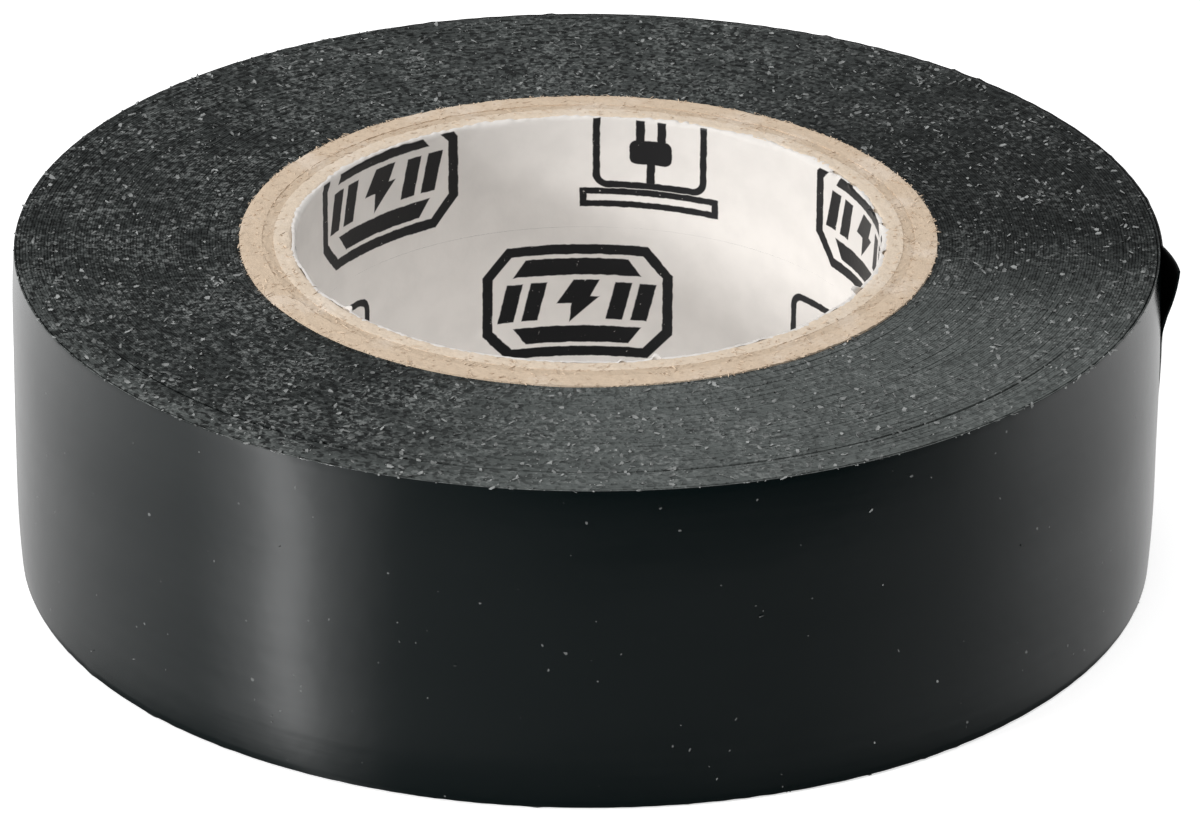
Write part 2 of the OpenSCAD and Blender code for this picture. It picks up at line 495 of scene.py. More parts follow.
def liner_material(colours):
    """White liner paper with badges and plug marks in turn, in two staggered rows."""
    m = Material("Printed liner")
    upper = m.smooth(m.z, BETWEEN_ROWS_Z - 0.01 * MM, BETWEEN_ROWS_Z + 0.01 * MM)
    angle = m.math("ARCTAN2", m.y, m.x) + (2 * FULL_TURN - FIRST_BADGE) - upper * ROW_SHIFT
    cell = angle / MARK_REPEAT + 0.5
    across = m.math("FRACT", cell) - 0.5
    odd = m.math("FLOORED_MODULO", m.math("FLOOR", cell), 2.0)
    u = across * (-MARK_REPEAT * BORE_R / MM)
    v = (m.z - (LOWER_ROW_Z + upper * (UPPER_ROW_Z - LOWER_ROW_Z))) / MM
    wobble = (m.noise(m.place, 2600.0, 2.0) - 0.5) * 0.10
    art = Print(m, u + wobble, v + wobble)
    inked = badge(art) * (1 - odd) + plug_mark(art) * odd
    on_wall = 1 - m.smooth(m.radius(), BORE_R + 0.03 * MM, BORE_R + 0.06 * MM)
    pinholes = m.smooth(m.noise(m.place, 5200.0, 2.0), 0.71, 0.80)
    inked = inked * on_wall * (1 - pinholes * 0.5)
    cloud = m.noise(m.place, 700.0, 3.0)
    fibre = m.noise(m.place, 5200.0, 2.0)
    paper = m.mix_colour(
        m.smooth(cloud, 0.3, 0.7), [level * 0.94 for level in colours.paper], colours.paper)
    colour = m.mix_colour(inked, paper, colours.ink)
    relief = cloud * 0.8 + fibre * 0.25
    return m.finish(colour, 0.55 - inked * 0.15, relief, 0.02 * MM, {"Specular IOR Level": 0.3})


# ---------------------------------------------------------------- mesh tools


def ring_noise(angles, seed, slowest, fastest):
    """Closed wobble about 0 with a spread near 1, from waves that fit the ring."""
    rng = np.random.default_rng(seed)
    counts = np.arange(slowest, fastest + 1)
    phases = rng.uniform(0, FULL_TURN, len(counts))
    weights = rng.normal(0, 1, len(counts)) / math.sqrt(len(counts) / 2)
    return (np.cos(np.outer(angles, counts) + phases) * weights).sum(axis=1)


def field_noise(points, scale):
    """Smooth noise about 0 at each point of an array whose last axis is a place."""
    flat = points.reshape(-1, 3) / scale
    return np.array([noise.noise(Vector(p)) for p in flat]).reshape(points.shape[:-1])


def to_world(radius, angle, z):
    """Points from their radius, compass angle and height."""
    radius, angle, z = np.broadcast_arrays(radius, angle, z)
    return np.stack([radius * np.cos(angle), radius * np.sin(angle), z], axis=-1)


def section_piece(name, sections, closed, material, sharp_angle=40):
    """Sweeps closed sections, indexed [along, around, xyz], into a closed shell."""
    along, around = sections.shape[:2]
    index = np.arange(along * around).reshape(along, around)
    spans = along if closed else along - 1
    faces = []
    for i in range(spans):
        here, there = index[i], index[(i + 1) % along]
        faces += [
            (here[k], here[(k + 1) % around], there[(k + 1) % around], there[k])
            for k in range(around)]
    if not closed:
        faces += cap_faces(index[0][::-1]) + cap_faces(index[-1])
    mesh = bpy.data.meshes.new(name)
    mesh.from_pydata(sections.reshape(-1, 3).tolist(), [], [tuple(map(int, f)) for f in faces])
    return finish_mesh(name, mesh, material, sharp_angle)


def cap_faces(loop):
    """Quads across a section that is folded flat about its first corner."""
    count = len(loop)
    return [
        (loop[k], loop[k + 1], loop[count - k - 2], loop[count - k - 1])
        for k in range(count // 2 - 1)]


def finish_mesh(name, mesh, material, sharp_angle):
    """Makes an object of a mesh, its faces turned outwards and shaded smooth."""
    work = bmesh.new()
    work.from_mesh(mesh)
    bmesh.ops.recalc_face_normals(work, faces=work.faces[:])
    work.to_mesh(mesh)
    work.free()
    mesh.materials.clear()
    mesh.materials.append(material)
    mesh.shade_smooth()
    mesh.set_sharp_from_angle(angle=math.radians(sharp_angle))
    piece = bpy.data.objects.new(name, mesh)
    bpy.context.scene.collection.objects.link(piece)
    return piece


def settle(piece, body, slot, *nodes):
    """Rides a finished piece on its body and hides the frame parts that it stands for."""
    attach(piece, body)
    if nodes:
        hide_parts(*nodes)


def bend(piece, bodies, start, end, slot, *nodes):
    """Bakes a finished piece's placement into its mesh and hides the frame parts that it stands for."""
    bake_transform(piece)
    if nodes:
        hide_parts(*nodes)


# ---------------------------------------------------------------- geometry node trees


class Recipe(Tree):
    """A geometry node tree whose named inputs are set on the piece that it makes."""

    def __init__(self, name):
        self.group = bpy.data.node_groups.new(name, "GeometryNodeTree")
        super().__init__(self.group)
        self.source = self.nodes.new("NodeGroupInput")
        self.identifiers = {}
        self.group.interface.new_socket(
            name="Geometry", in_out="OUTPUT", socket_type="NodeSocketGeometry")

    def input(self, name, kind="Float"):
        socket = self.group.interface.new_socket(
            name=name, in_out="INPUT", socket_type="NodeSocket" + kind)
        self.identifiers[name] = socket.identifier
        return Value(self, self.source.outputs[name])

    def inputs(self, *names):
        return [self.input(name) for name in names]

    def random(self, low, high, seed):
        """Random number for each point."""
        return self.node(
            "FunctionNodeRandomValue", {"data_type": "FLOAT"}, {2: low, 3: high, 8: seed}, 1)

    def end(self, geometry, material):
        solid = self.node("GeometryNodeRealizeInstances", None, {0: geometry})
        solid = self.node("GeometryNodeSetMaterial", None, {"Geometry": solid, "Material": material})
        self.node("NodeGroupOutput", None, {0: solid})
        return self

    def make(self, name, material, settings, sharp_angle=30):
        """Runs the recipe with these inputs and gives the piece as a plain mesh."""
        holder = bpy.data.objects.new(name + "_recipe", bpy.data.meshes.new(name + "_recipe"))
        bpy.context.scene.collection.objects.link(holder)
        modifier = holder.modifiers.new("Recipe", "NODES")
        modifier.node_group = self.group
        for key, setting in {**settings, "Material": material}.items():
            modifier[self.identifiers[key]] = setting
        evaluated = holder.evaluated_get(bpy.context.evaluated_depsgraph_get())
        mesh = bpy.data.meshes.new_from_object(evaluated)
        bpy.data.objects.remove(holder)
        if not mesh.polygons:
            raise RuntimeError(f"{name}: the recipe made no faces")
        mesh.name = name
        return finish_mesh(name, mesh, material, sharp_angle)


def winding_recipe():
    """A strip on edge, wound inwards in half turns whose centres alternate."""
    r = Recipe("Wound strip")
    start, turns, steps, radius, pitch, thickness, width = r.inputs(
        "Start angle", "Turns", "Steps per turn", "Start radius", "Pitch", "Thickness", "Width")
    middle, wander, corner, drawn, drawn_at, turned, seed = r.inputs(
        "Middle height", "Edge wander", "Edge rounding", "Drawn out", "Drawn out at", "Turned by",
        "Seed")
    material = r.input("Material", "Material")

    line = r.node("GeometryNodeCurvePrimitiveLine")
    line = r.node(
        "GeometryNodeResampleCurve", None, {"Curve": line, "Count": turns * steps + 1})
    angle = start + r.node("GeometryNodeInputIndex") * FULL_TURN / steps
    half_turn = r.math("FLOOR", (angle - start) / math.pi + r.math("FRACT", start / math.pi))
    odd = r.math("FLOORED_MODULO", half_turn, 2.0)
    facing = r.smooth(r.math("COSINE", angle - drawn_at), 0.15, 0.75)
    share = (angle - start) / (turns * FULL_TURN)
    centre = radius - half_turn * pitch / 2 - thickness / 2 + facing * share * drawn
    east, north = r.math("COSINE", angle), r.math("SINE", angle)
    drift = r.noise(r.vector(east * 1.6 + seed, north * 1.6, angle * 0.14), 1.0, 2.0)
    jitter = r.noise(r.vector(east * 5 + seed, north * 5, angle * 1.3), 1.0, 1.0)
    local_x, local_y = centre * east - odd * pitch / 2, centre * north
    cosine, sine = r.math("COSINE", turned), r.math("SINE", turned)
    x, y = local_x * cosine - local_y * sine, local_x * sine + local_y * cosine
    up = middle + (drift - 0.5) * wander * 2 + (jitter - 0.5) * wander * 1.4
    path = r.node(
        "GeometryNodeSetPosition", None, {"Geometry": line, "Position": r.vector(x, y, up)})
    path = r.node("GeometryNodeSetCurveNormal", {"mode": "Z_UP"}, {"Curve": path})
    section = r.node(
        "GeometryNodeCurvePrimitiveQuadrilateral", None, {"Width": thickness, "Height": width})
    section = r.node(
        "GeometryNodeFilletCurve", {"mode": "POLY"}, {"Curve": section, "Radius": corner})
    strip = r.node(
        "GeometryNodeCurveToMesh", None,
        {"Curve": path, "Profile Curve": section, "Fill Caps": True})
    return r.end(strip, material)


def scatter_recipe():
    """Short bent fibres strewn over a ring or round a cylinder."""
    r = Recipe("Strewn fibres")
    inner, outer, low, high, start, sweep = r.inputs(
        "Inner radius", "Outer radius", "Low", "High", "Start angle", "Sweep")
    shortest, longest, thickness, stray, lift = r.inputs(
        "Shortest", "Longest", "Thickness", "Stray", "Lift")
    count, seed = r.input("Count", "Int"), r.input("Seed", "Int")
    material = r.input("Material", "Material")

    bow = r.node(
        "GeometryNodeCurveQuadraticBezier", None,
        {"Resolution": 3, "Start": (-0.5, 0, 0), "Middle": (0.0, 0.35, 0), "End": (0.5, 0, 0)})
    around = r.node("GeometryNodeCurvePrimitiveCircle", None, {"Resolution": 3, "Radius": 0.5})
    fibre = r.node(
        "GeometryNodeCurveToMesh", None, {"Curve": bow, "Profile Curve": around, "Fill Caps": True})

    angle = start + sweep * r.random(0.0, 1.0, seed)
    square = r.random(0.0, 1.0, seed + 1) * (outer * outer - inner * inner) + inner * inner
    distance = r.math("SQRT", square)
    place = r.vector(
        distance * r.math("COSINE", angle), distance * r.math("SINE", angle),
        r.random(low, high, seed + 2))
    points = r.node("GeometryNodePoints", None, {"Count": count, "Position": place})
    size = r.random(0.0, 1.0, seed + 3)
    length = shortest + (longest - shortest) * size * size * size
    girth = thickness * r.random(0.6, 1.3, seed + 4)
    heading = angle + math.pi / 2 + stray * r.random(-1.0, 1.0, seed + 5)
    turn = r.vector(r.random(-0.6, 0.6, seed + 6), lift * r.random(-1.0, 1.0, seed + 7), heading)
    strewn = r.node(
        "GeometryNodeInstanceOnPoints", None,
        {"Points": points, "Instance": fibre, "Rotation": turn,
         "Scale": r.vector(length, r.math("MINIMUM", length, girth * 4), girth)})
    return r.end(strewn, material)


# ---------------------------------------------------------------- wound tape

SLACK_TURNS = round((ROLL_R - PACKED_R) / TURN_PITCH)
STEPS_PER_TURN = 240
ALONG_STEP = math.radians(0.5)
PRESSED_SPAN = math.radians(2.5)
PRESSED_BELOW = FOLD_POINT.z - 1.5 * MM
PRESSED_IN = 0.075 * MM
PACK_SPLIT = 31.0
WALL_ROWS = 46
CROWN_POWER = 4


def crown_at(z, crown):
    """How far the outermost turn stands out at a height."""
    offset = np.abs(z - TAPE_MIDDLE) / (TAPE_WIDTH / 2)
    return crown * (1 - np.clip(offset, 0, 1) ** CROWN_POWER)


def wall_wave(angle, z):
    """Slow unevenness of the outer wall, tied to the wound tape's own angle."""
    height = (z - TAPE_MIDDLE) / TAPE_WIDTH
    wave = 0.010 * np.sin(5 * angle + 2.2 * height) + 0.006 * np.sin(9 * angle - 5 * height + 1.0)
    ripple = 0.005 * np.sin(17 * height + 3 * np.sin(2 * angle))
    drape = 0.005 * np.sin(5 * angle + 11 * height + 1.5 * np.sin(3 * angle))
    return (wave + ripple + drape) * MM


def rim_nicks(angle, seed):
    """Fine height changes of the rim where the slitting knife left nicks and burrs."""
    fine = ring_noise(angle, seed, 60, 170)
    burr = np.clip(ring_noise(angle, seed + 1, 20, 120) - 1.7, 0, 1.2)
    return (0.006 * fine + 0.06 * burr) * MM


def strip_section(sizes, angle, outside, depths, centre_x=0.0, cut=False):
    """Sections of the tape at each local angle, between two depths below its outside.

    Each section runs up the outer face, over the upper rim, down the inner face and back.
    With cut, the sections lean over evenly until the last lies along the slanted cut.
    """
    z_low, z_high = TAPE_Z
    rim = min(sizes.rim_round, (depths[1] - depths[0]) * 0.45)
    heights = np.linspace(z_low + rim, z_high - rim, WALL_ROWS)
    quarter = np.linspace(0, math.pi / 2, 4)[1:]
    rim_z = np.sin(quarter) * rim
    rim_in = (1 - np.cos(quarter)) * rim
    upper = [(z_high - rim + up, depths[0] + inward) for up, inward in zip(rim_z, rim_in)]
    lower = [(z_low + rim - up, depths[0] + inward) for up, inward in zip(rim_z, rim_in)]
    face = [(z, depths[0]) for z in heights]
    back = [(z, depths[1]) for z in heights[::-1]]
    outline = np.array(face + upper + back + lower[::-1])
    z, depth = outline[:, 0][None, :], outline[:, 1][None, :]
    angle = np.repeat(angle[:, None], len(outline), axis=1)
    if cut:
        fall = np.arcsin((z_high - z) / TAPE_WIDTH * sizes.cut_slant / ROLL_R)
        angle = angle + (1 - angle / angle[0, 0]) * fall
    radius = outside - depth + crown_at(z, sizes.crown) + wall_wave(angle, z)
    if cut:
        near_cut = np.clip(1 - np.abs(angle - angle[-1]) / PRESSED_SPAN, 0, 1)
        held = np.clip((PRESSED_BELOW - z) / MM, 0, 1)
        radius -= near_cut ** 2 * held * PRESSED_IN * (1 - depth / (sizes.film + sizes.adhesive))
    near_top = np.clip((z - (z_high - 2 * rim)) / (2 * rim), 0, 1)
    near_low = np.clip((z_low + 2 * rim - z) / (2 * rim), 0, 1)
    nicks = rim_nicks(angle[:, 0], 5)[:, None], rim_nicks(angle[:, 0], 8)[:, None]
    lifted = z + near_top * nicks[0] - near_low * np.clip(nicks[1], -1, 0.05 * MM)
    local = to_world(radius, angle, lifted)
    local[..., 0] += centre_x
    return turned(local)


def turned(local):
    """Turns points from the winding's own angle to their compass angle."""
    cosine, sine = math.cos(FREE_END), math.sin(FREE_END)
    x, y, z = local[..., 0], local[..., 1], local[..., 2]
    return np.stack([x * cosine - y * sine, x * sine + y * cosine, z], axis=-1)


def outer_turn_sections(sizes):
    """The outermost whole turn, from the root of the tail until it passes below the root."""
    half_pitch = sizes.pitch / 2
    laminate = sizes.film + sizes.adhesive
    runs = [
        (TAIL_ANGLE, math.pi, 0, 0.0),
        (math.pi, FULL_TURN, 1, -half_pitch),
        (FULL_TURN, FULL_TURN + TAIL_ANGLE, 2, 0.0)]
    sections = []
    for start, end, half_turn, centre_x in runs:
        steps = round((end - start) / ALONG_STEP)
        angles = np.linspace(start, end, steps + 1)
        if half_turn:
            angles = angles[1:]
        sections.append(strip_section(
            sizes, angles, ROLL_R - half_turn * half_pitch, (0.0, laminate), centre_x))
    return np.concatenate(sections)


def compass(local_angle):
    """Place on the outside of the roll at a local angle, at the height of the bend joints."""
    angle = FREE_END + local_angle
    return (ROLL_R * math.cos(angle), ROLL_R * math.sin(angle), BENDS[0]["pos_m"][2])


# ---------------------------------------------------------------- lifted corner

CORNER_SPAN = STRIP_ANGLE
CURL_START = 1.55
CURL_END = 0.64
CURL_LENGTH = 2.6 * MM
CURL_EASE = 0.25 * MM
CURL_STEPS = 24
CREASE_FROM = 0.05 * MM
CREASE_TO = 0.8 * MM


def curl_corner(points):
    """Lifts what lies beyond the fold line along a curl that flattens towards the tip."""
    origin, across, out = np.array(FOLD_POINT), np.array(FOLD_ACROSS), np.array(FOLD_OUT)
    distance = np.clip((points - origin) @ across, 0, None)
    share = (np.arange(CURL_STEPS) + 0.5) / CURL_STEPS
    along = distance[..., None] * share
    angle = STORED_LIFT * (CURL_START + (CURL_END - CURL_START) * along / CURL_LENGTH)
    angle = angle * np.clip(along / CURL_EASE, 0, 1)
    ahead = np.cos(angle).mean(axis=-1) * distance - distance
    rise = np.sin(angle).mean(axis=-1) * distance
    return points + ahead[..., None] * across + rise[..., None] * out


# ---------------------------------------------------------------- board core

BOARD_ROUGHNESS = 0.036 * MM
INNER_PLY_ROUND = 0.20 * MM
MIDDLE_PLY_RECESS = 0.02 * MM
OUTER_EDGE_DROP = 0.01 * MM
SEAM_ANGLE = math.radians(205)
SEAM_GAP = 0.15 * MM
LOWER_LIP_LIFT = 0.03 * MM
STRAIGHT_WALL_FROM = 1.5 * MM


def board_sections(inner, outer, seed, recess, inner_round):
    """Rough cut ring of board: closed sections with broken corners and a fibrous face."""
    angles = np.linspace(0, FULL_TURN, 541)[:-1]
    z_low, z_high = CORE_Z[0] + recess, CORE_Z[1] - recess
    share = np.linspace(0, 1, 9)
    face_r = inner + (outer - inner) * share
    edge = np.clip(1 - (face_r - inner) / max(inner_round, 1e-9), 0, 1)
    drop = inner_round * (1 - np.sqrt(1 - edge ** 2)) * 0.9
    outer_drop = np.where(share == 1, OUTER_EDGE_DROP, 0.0)
    top = [(r, z_high - d - o) for r, d, o in zip(face_r, drop, outer_drop)]
    low = [(r, z_low + d + o) for r, d, o in zip(face_r[::-1], drop[::-1], outer_drop[::-1])]
    outline = np.array(top + low)
    points = to_world(outline[:, 0][None, :], angles[:, None], outline[:, 1][None, :])
    rough = field_noise(points + seed, 0.22 * MM) + 0.6 * field_noise(points + 2 * seed, 0.09 * MM)
    slow = field_noise(points + 3 * seed, 1.3 * MM)
    sign = np.where(outline[:, 1] > TAPE_MIDDLE, 1.0, -1.0)[None, :]
    keep = np.where(sign < 0, np.clip(rough, -1, 0), rough)
    points[..., 2] += sign * BOARD_ROUGHNESS * (keep + slow * 0.6 * (sign > 0))
    return points


def lip(flare, rise, torn, z_end, up):
    """Rings of one lip of the liner, bent from its wall outwards over the board."""
    return [
        (flare * (1 - math.cos(b)), z_end + up * (torn * math.sin(b) ** 4 - rise * (1 - math.sin(b))))
        for b in np.linspace(0, math.pi / 2, 7)]


def liner_sections():
    """Paper tube with an open seam, its cut edges turned out over the board and torn."""
    half_gap = SEAM_GAP / BORE_R / 2
    angles = np.linspace(SEAM_ANGLE + half_gap, SEAM_ANGLE + FULL_TURN - half_gap, 900)
    thickness = LINER_R - BORE_R
    burr = np.clip(ring_noise(angles, 35, 12, 60) - 1.5, 0, 1)
    flare = 0.17 + 0.07 * ring_noise(angles, 31, 4, 26) + 0.012 * ring_noise(angles, 32, 40, 120)
    flare = (np.clip(flare, 0.05, 0.38) - burr * 0.30) * MM
    rise = (0.26 + 0.06 * ring_noise(angles, 33, 3, 16)) * MM
    torn = (0.012 * ring_noise(angles, 34, 60, 220) + 0.12 * burr) * MM
    top = lip(flare, rise, torn, CORE_Z[1], 1)
    low = lip(flare, rise, 0.0, CORE_Z[0] + LOWER_LIP_LIFT, -1)
    heights = np.linspace(CORE_Z[0] + STRAIGHT_WALL_FROM, CORE_Z[1] - STRAIGHT_WALL_FROM, 14)
    wall = [(0.0, z) for z in heights]
    outline = [(BORE_R + r, z) for r, z in low[::-1] + wall + top]
    outline += [(BORE_R + r + thickness, z - 0.02 * MM) for r, z in top[::-1]]
    outline += [(BORE_R + r + thickness, z) for r, z in wall[::-1]]
    outline += [(BORE_R + r + thickness, z + 0.02 * MM) for r, z in low]
    return np.stack([to_world(r, angles, z) for r, z in outline], axis=1)


# ---------------------------------------------------------------- operators


def shared(colours):
    """The materials that several pieces share, made once."""
    makers = {
        "Satin PVC film": lambda: film_material(colours),
        "Rubber adhesive": lambda: glue_material(colours),
        "Wound tape edge": lambda: wound_material(colours),
        "Lint": lambda: lint_material(colours),
    }
    return {name: bpy.data.materials.get(name) or make() for name, make in makers.items()}


def tape_layers(sizes, colours):
    """Film and adhesive: name, depths below the roll's outside, material and slot."""
    materials = shared(colours)
    laminate = sizes.film + sizes.adhesive
    return [
        ("film", (0.0, sizes.film), materials["Satin PVC film"], "pvc_film"),
        ("adhesive", (sizes.film, laminate), materials["Rubber adhesive"], "adhesive")]


class TAPEROLL_OT_stage(bpy.types.Operator):
    """Set up the floor, the soft studio light and the camera"""

    bl_idname = "taperoll.stage"
    bl_label = "Stage"

    CAMERA_DISTANCE = 349.65 * MM
    CAMERA_HEIGHT_ANGLE = math.radians(25.63)
    CAMERA_ROLL = math.radians(0.311)
    CAMERA_LENS = 233.8
    AIM_RIGHT = 0.556 * MM
    AIM_DOWN = 1.01 * MM
    FLOOR_REACH = 3.0
    KEY_TURN = math.radians(213)
    KEY_HEIGHT_ANGLE = math.radians(18.5)
    KEY_REACH = 0.9
    # Levels round the compass: what the wall mirrors from below, and from further out.
    NEAR_LEVELS = [
        (0.00, 0.08), (0.15, 0.095), (0.27, 0.12), (0.31, 0.34), (0.33, 1.0), (0.35, 0.34),
        (0.39, 0.07), (0.50, 0.052), (0.62, 0.052), (0.70, 0.07), (0.80, 0.085), (0.90, 0.08)]
    FAR_LEVELS = [
        (0.00, 0.20), (0.15, 0.24), (0.27, 0.18), (0.31, 0.36), (0.33, 1.0), (0.35, 0.30),
        (0.40, 0.04), (0.50, 0.0), (0.64, 0.0), (0.71, 0.05), (0.78, 0.18), (0.90, 0.20)]

    def execute(self, context):
        self.camera(context)
        self.floor(context)
        self.surroundings(context)
        self.key_light(context)
        context.scene.view_settings.view_transform = "Standard"
        return {"FINISHED"}

    def camera(self, context):
        data = bpy.data.cameras.new("Camera")
        data.lens = self.CAMERA_LENS
        data.sensor_width = 36
        data.clip_start = 10 * MM
        data.clip_end = 10
        camera = bpy.data.objects.new("Camera", data)
        middle = Vector((0, 0, CORE_Z[1] / 2))
        back = Vector((0, -math.cos(self.CAMERA_HEIGHT_ANGLE), math.sin(self.CAMERA_HEIGHT_ANGLE)))
        up = Vector((0, math.sin(self.CAMERA_HEIGHT_ANGLE), math.cos(self.CAMERA_HEIGHT_ANGLE)))
        camera.location = middle + back * self.CAMERA_DISTANCE
        aim = middle + Vector((self.AIM_RIGHT, 0, 0)) - up * self.AIM_DOWN
        look = (aim - camera.location).to_track_quat("-Z", "Y").to_matrix()
        camera.rotation_euler = (look @ Matrix.Rotation(self.CAMERA_ROLL, 3, "Z")).to_euler()
        context.scene.collection.objects.link(camera)
        context.scene.camera = camera

    def floor(self, context):
        mesh = bpy.data.meshes.new("Floor")
        corners = [(-1, -1, 0), (1, -1, 0), (1, 1, 0), (-1, 1, 0)]
        mesh.from_pydata([Vector(c) * self.FLOOR_REACH for c in corners], [], [(0, 1, 2, 3)])
        floor = bpy.data.objects.new("Floor", mesh)
        context.scene.collection.objects.link(floor)
        m = Material("Pale floor")
        tone = m.noise(m.place, 3.0, 2.0)
        shade = m.mix_colour(m.smooth(tone, 0.3, 0.7), (0.83, 0.83, 0.83), (0.86, 0.86, 0.86))
        m.finish(shade, 0.9, None, 0.0, {
            "Specular IOR Level": 0.0, "Emission Color": (1, 1, 1, 1), "Emission Strength": 0.6})
        mesh.materials.append(m.material)
        floor.visible_glossy = False

    def surroundings(self, context):
        """Even light from above; below the horizon, what the satin wall mirrors."""
        world = bpy.data.worlds.new("Studio")
        world.use_nodes = True
        context.scene.world = world
        t = Tree(world.node_tree)
        x, y, z = t.parts(t.node("ShaderNodeTexCoord"))
        turn = t.math("ARCTAN2", x, -1.0 * y) / FULL_TURN + 0.5
        near, far = [
            t.node("ShaderNodeValToRGB", {"stops": levels}, {"Fac": turn})
            for levels in (self.NEAR_LEVELS, self.FAR_LEVELS)]
        side = t.smooth(abs(turn - 0.55), 0.12, 0.26)
        rising = t.smooth(z, -0.52, -0.33) * side + t.smooth(z, -0.435, -0.375) * (1 - side)
        below = t.node(
            "ShaderNodeMix", {"data_type": "RGBA"}, {0: rising, 6: near, 7: far}, 2)
        above = t.smooth(z, -0.03, 0.05)
        strength = 6.0 * (0.15 + 0.85 * t.smooth(z, -0.57, -0.49))
        mirrored = t.node("ShaderNodeBackground", None, {"Color": below, "Strength": strength})
        height = 0.12 + 0.92 * t.smooth(z, 0.20, 0.85)
        sky = t.node("ShaderNodeBackground", None, {"Color": (1, 1, 1, 1), "Strength": height})
        light = t.node("ShaderNodeMixShader", None, {0: above, 1: mirrored, 2: sky})
        t.node("ShaderNodeOutputWorld", None, {"Surface": light})

    def key_light(self, context):
        data = bpy.data.lights.new("Key", "AREA")
        data.shape = "RECTANGLE"
        data.size = 0.22
        data.size_y = 0.16
        data.energy = 5.75
        key = bpy.data.objects.new("Key", data)
        level = self.KEY_REACH * math.cos(self.KEY_HEIGHT_ANGLE)
        key.location = (
            level * math.cos(self.KEY_TURN), level * math.sin(self.KEY_TURN),
            self.KEY_REACH * math.sin(self.KEY_HEIGHT_ANGLE))
        key.rotation_euler = (-key.location).to_track_quat("-Z", "Y").to_euler()
        context.scene.collection.objects.link(key)


class TAPEROLL_OT_liner(bpy.types.Operator):
    """Make the printed paper liner with its torn edges and open seam"""

    bl_idname = "taperoll.liner"
    bl_label = "Liner"

    def execute(self, context):
        colours = context.scene.tape_roll_colours
        piece = section_piece(
            "liner_paper", liner_sections(), False, liner_material(colours), 60)
        settle(piece, "roll", "printed_paper", "liner")
        return {"FINISHED"}


class TAPEROLL_OT_board(bpy.types.Operator):
    """Make the three rough cut rings of board, with their loose fibres"""

    bl_idname = "taperoll.board"
    bl_label = "Board core"

    def execute(self, context):
        sizes = context.scene.tape_roll_sizes
        colours = context.scene.tape_roll_colours
        kraft = board_material("Cut kraft board", colours.board)
        pale = board_material("Cut inner ply", colours.inner_ply)
        core = board_material("Cut middle ply", colours.core_ply)
        rings = [
            ("board_inner_ply", "ply_inner", LINER_R, INNER_PLY_R, 0.0, INNER_PLY_ROUND, pale,
             "kraft_board"),
            ("board_middle_ply", "ply_middle", INNER_PLY_R, MIDDLE_PLY_R, MIDDLE_PLY_RECESS, 0.0,
             core, "kraft_core_ply"),
            ("board_outer_ply", "ply_outer", MIDDLE_PLY_R, CORE_R, 0.0, 0.0, kraft,
             "kraft_board")]
        for number, (name, node, inner, outer, recess, inner_round, finish, slot) in enumerate(rings):
            sections = board_sections(inner, outer, 0.013 * (number + 1), recess, inner_round)
            settle(section_piece(name, sections, True, finish, 50), "roll", slot, node)
        strewn = scatter_recipe()
        common = {
            "Start angle": 0.0, "Sweep": FULL_TURN, "Thickness": 0.016 * MM, "Stray": 1.3,
            "Lift": 0.35}
        ends = [("upper", CORE_Z[1] - 0.02 * MM, CORE_Z[1] + 0.04 * MM),
                ("lower", CORE_Z[0] + 0.02 * MM, CORE_Z[0] + 0.05 * MM)]
        for number, (end, low, high) in enumerate(ends):
            face = strewn.make("board_fibres_" + end, kraft, {
                **common, "Count": sizes.hair_count, "Inner radius": LINER_R + 0.3 * MM,
                "Outer radius": CORE_R + 0.03 * MM, "Low": low, "High": high,
                "Shortest": 0.08 * MM, "Longest": 0.50 * MM, "Seed": 40 + 20 * number})
            settle(face, "roll", "kraft_board")
            fuzz = strewn.make("board_fuzz_" + end, kraft, {
                **common, "Count": sizes.hair_count // 3, "Inner radius": CORE_R - 0.08 * MM,
                "Outer radius": CORE_R + 0.07 * MM, "Low": low - 0.05 * MM, "High": high,
                "Shortest": 0.08 * MM, "Longest": 0.32 * MM, "Seed": 90 + 20 * number})
            settle(fuzz, "roll", "kraft_board")
        return {"FINISHED"}


class TAPEROLL_OT_winding(bpy.types.Operator):
    """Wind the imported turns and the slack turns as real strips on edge"""

    bl_idname = "taperoll.winding"
    bl_label = "Wound turns"

    def execute(self, context):
        sizes = context.scene.tape_roll_sizes
        finish = shared(context.scene.tape_roll_colours)["Wound tape edge"]
        recipe = winding_recipe()
        turns_packed = math.floor((PACKED_R - CORE_R) / sizes.pitch)
        common = {
            "Steps per turn": float(STEPS_PER_TURN), "Thickness": sizes.pitch * 0.94,
            "Width": TAPE_WIDTH, "Middle height": TAPE_MIDDLE, "Edge wander": sizes.edge_wander,
            "Edge rounding": 0.014 * MM, "Turned by": FREE_END,
            "Drawn out at": 1.5 * math.pi - FREE_END}
        slack_start = FULL_TURN + TAIL_ANGLE
        runs = [
            ("slack_turns", slack_start, SLACK_TURNS - slack_start / FULL_TURN,
             ROLL_R - sizes.pitch, sizes.slack_pitch, sizes.slack_drawn, 3.0, "outer_wrap"),
            ("packed_turns_outer", 0.0, PACK_SPLIT, PACKED_R, sizes.pitch, 0.0, 7.0, "wound_tape"),
            ("packed_turns_inner", 0.0, turns_packed - PACK_SPLIT,
             PACKED_R - PACK_SPLIT * sizes.pitch, sizes.pitch, 0.0, 11.0, "wound_tape")]
        for name, start, turns, radius, pitch, drawn, seed, node in runs:
            piece = recipe.make(name, finish, {
                **common, "Start angle": start % FULL_TURN, "Turns": turns, "Start radius": radius,
                "Pitch": pitch, "Drawn out": drawn, "Seed": seed})
            settle(piece, "roll", "wound_edge", node)
        return {"FINISHED"}


